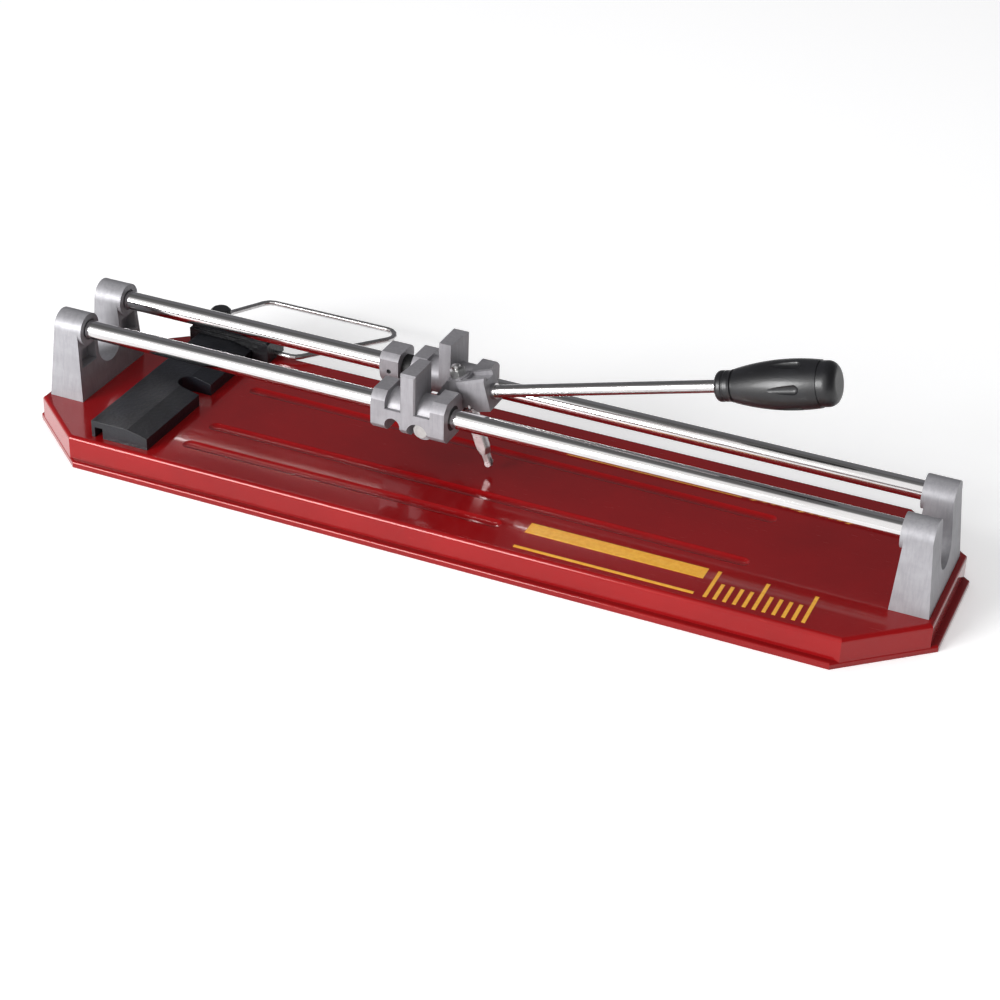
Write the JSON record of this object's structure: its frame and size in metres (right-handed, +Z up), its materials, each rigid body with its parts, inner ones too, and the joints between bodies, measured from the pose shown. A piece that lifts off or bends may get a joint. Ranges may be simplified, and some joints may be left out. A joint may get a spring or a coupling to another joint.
{
  "type": "tile cutter",
  "caption": "Manual tile cutter: pressed steel bed with twin rails, end brackets, a sliding carriage with a scoring lever and wheel, a fence bar and a wire side gauge.",
  "frame": {"origin": "on the floor under the centre of the bed's eight-sided footprint", "axes": "+X along the rails toward the end the grip points to, +Y from the operator toward the side gauge, +Z up"},
  "size_m": [0.65, 0.2385, 0.1594],
  "materials": {
    "bed_tray": "gloss red paint on pressed sheet steel",
    "bracket_casting": "fine satin die cast",
    "steel_bright": "zinc plated",
    "rail_chrome": "polished hard chrome",
    "steel_black": "black oxide",
    "fence_plastic": "fine grained moulding",
    "gauge_plastic": "coarse grained moulding",
    "knob_plastic": "semi gloss moulding",
    "carriage_casting": "fine satin die cast",
    "bush_plastic": "self lubricating bearing plastic",
    "bronze": "sintered bronze",
    "rod_steel": "bright plated",
    "grip_plastic": "semi gloss moulding",
    "stem_steel": "bright turned",
    "label_ink": "screen printed yellow ink",
    "carbide": "ground tungsten carbide"
  },
  "bodies": {
    "bed": {"bed_tray": "bed_tray", "left_bracket": "bracket_casting", "right_bracket": "bracket_casting", "bracket_screws": "steel_bright", "bracket_washers": "steel_bright", "front_rail": "rail_chrome", "rear_rail": "rail_chrome", "rail_grubs": "steel_black", "fence_bar": "fence_plastic", "fence_screws": "steel_bright", "bed_label": "label_ink"},
    "gauge": {"gauge_block": "gauge_plastic", "gauge_wire": "rod_steel", "gauge_wire_grub": "steel_bright"},
    "knob": {"gauge_knob": "knob_plastic"},
    "carriage": {"front_slider": "carriage_casting", "rear_slider": "carriage_casting", "slide_bushes": "bush_plastic", "bush_pegs": "bush_plastic", "pivot_bolt": "steel_bright", "pivot_nut": "steel_bright", "thrust_washers": "bronze"},
    "lever": {"lever_head": "carriage_casting", "lever_rod": "rod_steel", "rod_grub": "steel_black", "grip": "grip_plastic", "grip_cap": "grip_plastic", "scoring_stem": "stem_steel", "stem_nut": "steel_bright", "wheel_axle": "stem_steel"},
    "wheel": {"scoring_wheel": "carbide"}
  },
  "joints": [
    {"name": "carriage_slide", "type": "slide", "parent": "bed", "child": "carriage", "axis": [1, 0, 0], "range_m": [-0.199, 0.272]},
    {"name": "lever_pivot", "type": "hinge", "parent": "carriage", "child": "lever", "pos_m": [-0.0333, 0, 0.0614], "axis": [0, 1, 0], "range_deg": [-70, 7.2]},
    {"name": "wheel_spin", "type": "hinge", "parent": "lever", "child": "wheel", "pos_m": [0.00163, 0, 0.0286], "axis": [0, 1, 0], "continuous": true},
    {"name": "gauge_slide", "type": "slide", "parent": "bed", "child": "gauge", "axis": [0, 1, 0], "range_m": [-0.024, 0]},
    {"name": "knob_turn", "type": "hinge", "parent": "gauge", "child": "knob", "pos_m": [-0.2473, 0.078, 0.0383], "axis": [0, 0, 1], "range_deg": [0, 360]}
  ]
}
